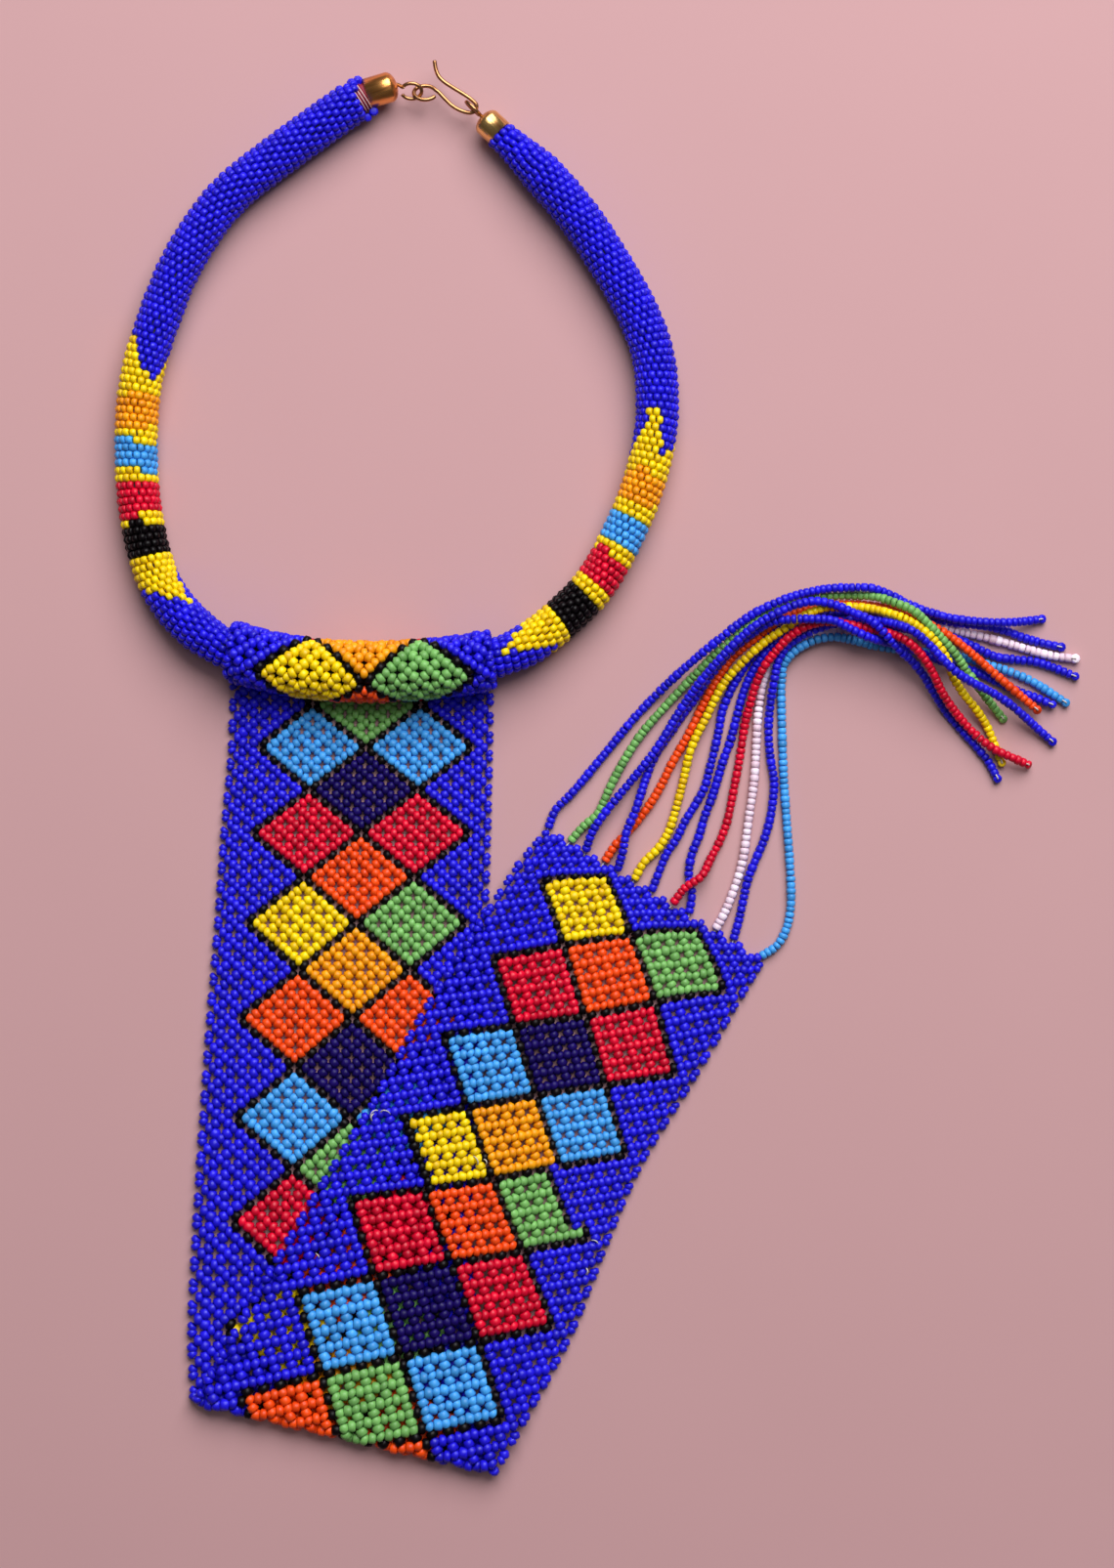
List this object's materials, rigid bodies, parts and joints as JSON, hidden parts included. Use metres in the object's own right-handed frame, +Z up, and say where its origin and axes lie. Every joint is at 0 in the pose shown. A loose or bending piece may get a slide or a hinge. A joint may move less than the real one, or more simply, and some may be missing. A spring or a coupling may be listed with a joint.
{
  "type": "beaded tassel necklace",
  "caption": "Seed-bead necklace laid flat: tubular collar with hook clasp, folded net band of diamonds, fringe of bead strands.",
  "frame": {"origin": "centre of the footprint, on the surface that the necklace lies on", "axes": "+Z up off the surface, +Y from the hanging band towards the clasp, +X towards the fringe's tips"},
  "size_m": [0.2553, 0.3759, 0.0163],
  "materials": {
    "bead_blue": "glossy opaque glass seed beads",
    "bead_navy": "glossy opaque glass seed beads",
    "bead_sky": "glossy opaque glass seed beads",
    "bead_yellow": "glossy opaque glass seed beads",
    "bead_amber": "glossy opaque glass seed beads",
    "bead_orange": "glossy opaque glass seed beads",
    "bead_red": "glossy opaque glass seed beads",
    "bead_green": "glossy opaque glass seed beads",
    "bead_black": "glossy opaque glass seed beads",
    "bead_white": "glossy opaque glass seed beads",
    "binding_thread": "wound cotton thread",
    "net_thread": "white beading thread",
    "cap_brass": "polished",
    "wire_brass": "worn"
  },
  "bodies": {
    "root": {"collar_tube": "bead_blue", "end_binding": "binding_thread", "left_end_cap": "cap_brass", "right_end_cap": "cap_brass", "left_eye": "wire_brass", "right_eye": "wire_brass", "clasp_hook": "wire_brass", "collar_sleeve": "bead_blue", "beaded_panel": "bead_blue", "fringe_strand_01": "bead_blue", "fringe_strand_02": "bead_green", "fringe_strand_03": "bead_blue", "fringe_strand_04": "bead_orange", "fringe_strand_05": "bead_blue", "fringe_strand_06": "bead_yellow", "fringe_strand_07": "bead_blue", "fringe_strand_08": "bead_red", "fringe_strand_09": "bead_blue", "fringe_strand_10": "bead_white", "fringe_strand_11": "bead_blue", "fringe_strand_12": "bead_sky"}
  },
  "joints": []
}
